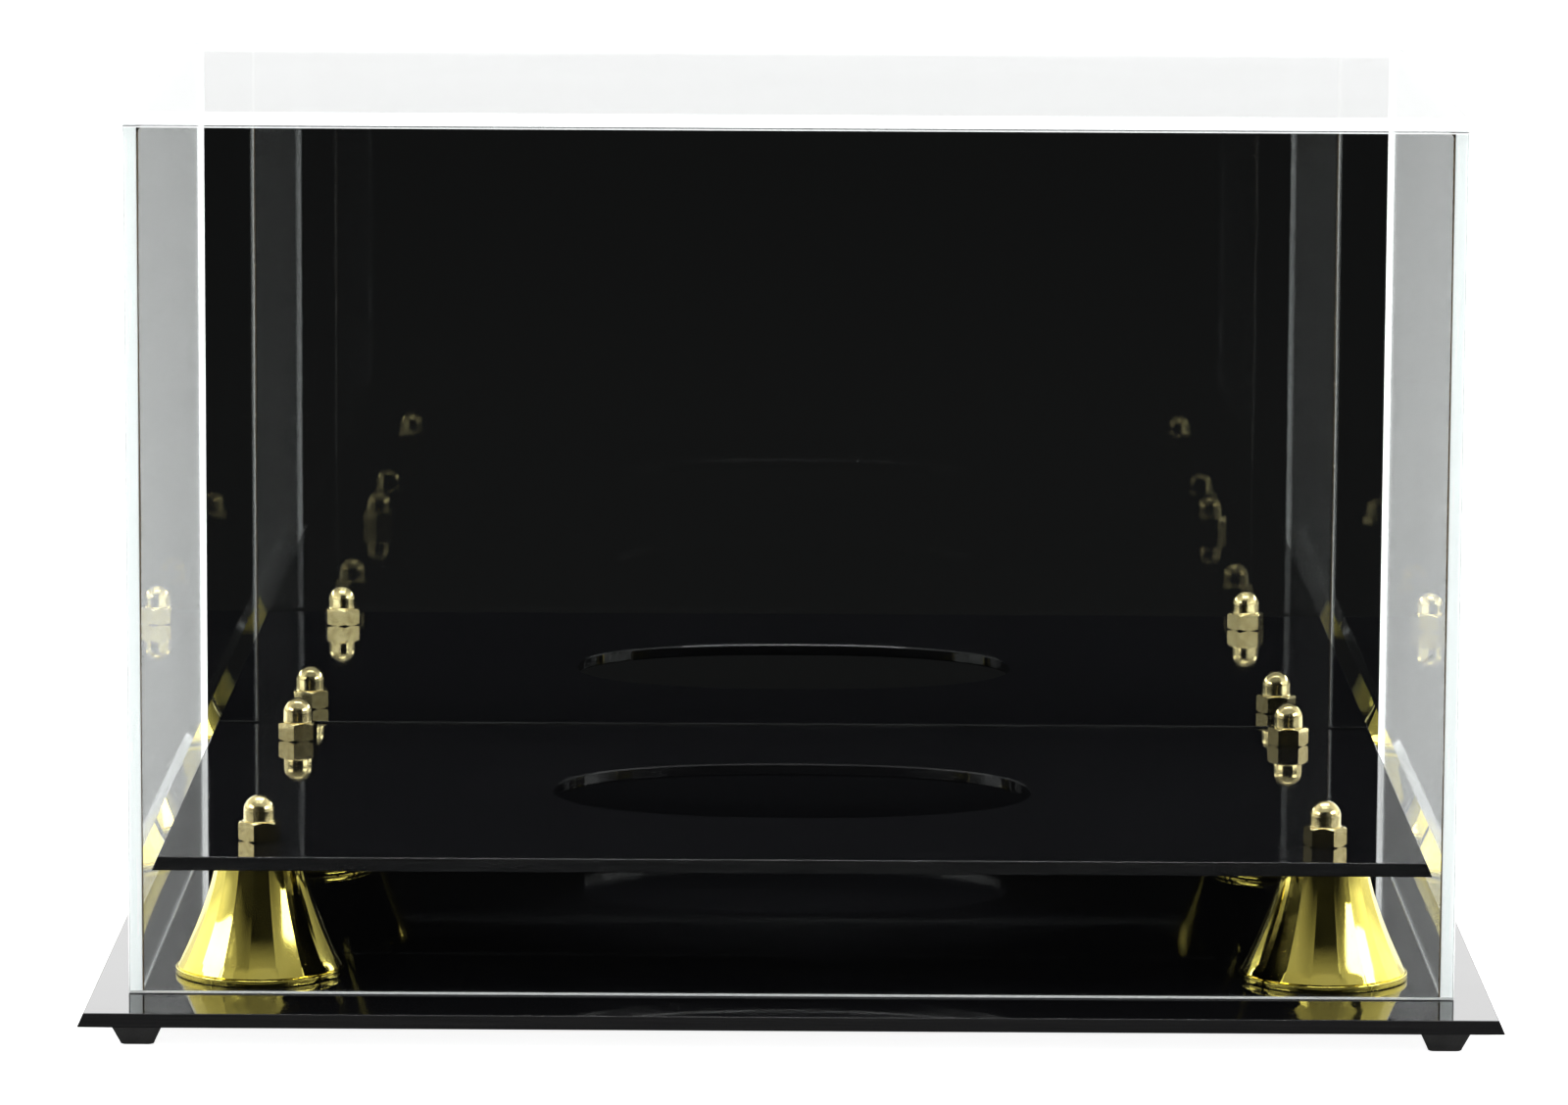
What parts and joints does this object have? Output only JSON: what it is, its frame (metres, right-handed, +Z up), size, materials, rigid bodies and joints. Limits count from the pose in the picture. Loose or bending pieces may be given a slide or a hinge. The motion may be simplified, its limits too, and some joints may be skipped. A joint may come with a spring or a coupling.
{
  "type": "football display case",
  "caption": "Clear lift-off cover with a mirrored back over a bevelled black base and a raised deck on fluted gold risers; an oval cut-out in the deck cradles a ball.",
  "frame": {"origin": "on the surface under the feet, below the middle of the base plate", "axes": "+Z up, front towards -Y, +X to the right as seen from the front"},
  "size_m": [0.322, 0.222, 0.2107],
  "materials": {
    "clear_acrylic": "clear cast acrylic with polished edges",
    "black_acrylic": "black acrylic, polished to a mirror gloss",
    "mirror": "mirrored acrylic sheet with a grey painted back",
    "gold_plating": "bright gold metallised plastic",
    "brass": "bright brass plating",
    "rubber": "matt black rubber"
  },
  "bodies": {
    "base": {"base_plate": "black_acrylic", "deck_plate": "black_acrylic", "riser_front_left": "gold_plating", "screw_front_left": "brass", "acorn_nut_front_left": "brass", "foot_front_left": "rubber", "riser_front_right": "gold_plating", "screw_front_right": "brass", "acorn_nut_front_right": "brass", "foot_front_right": "rubber", "riser_rear_left": "gold_plating", "screw_rear_left": "brass", "acorn_nut_rear_left": "brass", "foot_rear_left": "rubber", "riser_rear_right": "gold_plating", "screw_rear_right": "brass", "acorn_nut_rear_right": "brass", "foot_rear_right": "rubber"},
    "cover": {"cover_front_panel": "clear_acrylic", "cover_back_panel": "clear_acrylic", "cover_left_panel": "clear_acrylic", "cover_right_panel": "clear_acrylic", "cover_top_panel": "clear_acrylic", "mirror_panel": "mirror"}
  },
  "joints": [
    {"name": "cover_lift", "type": "slide", "parent": "base", "child": "cover", "axis": [0, 0, 1], "range_m": [0, 0.21]}
  ]
}
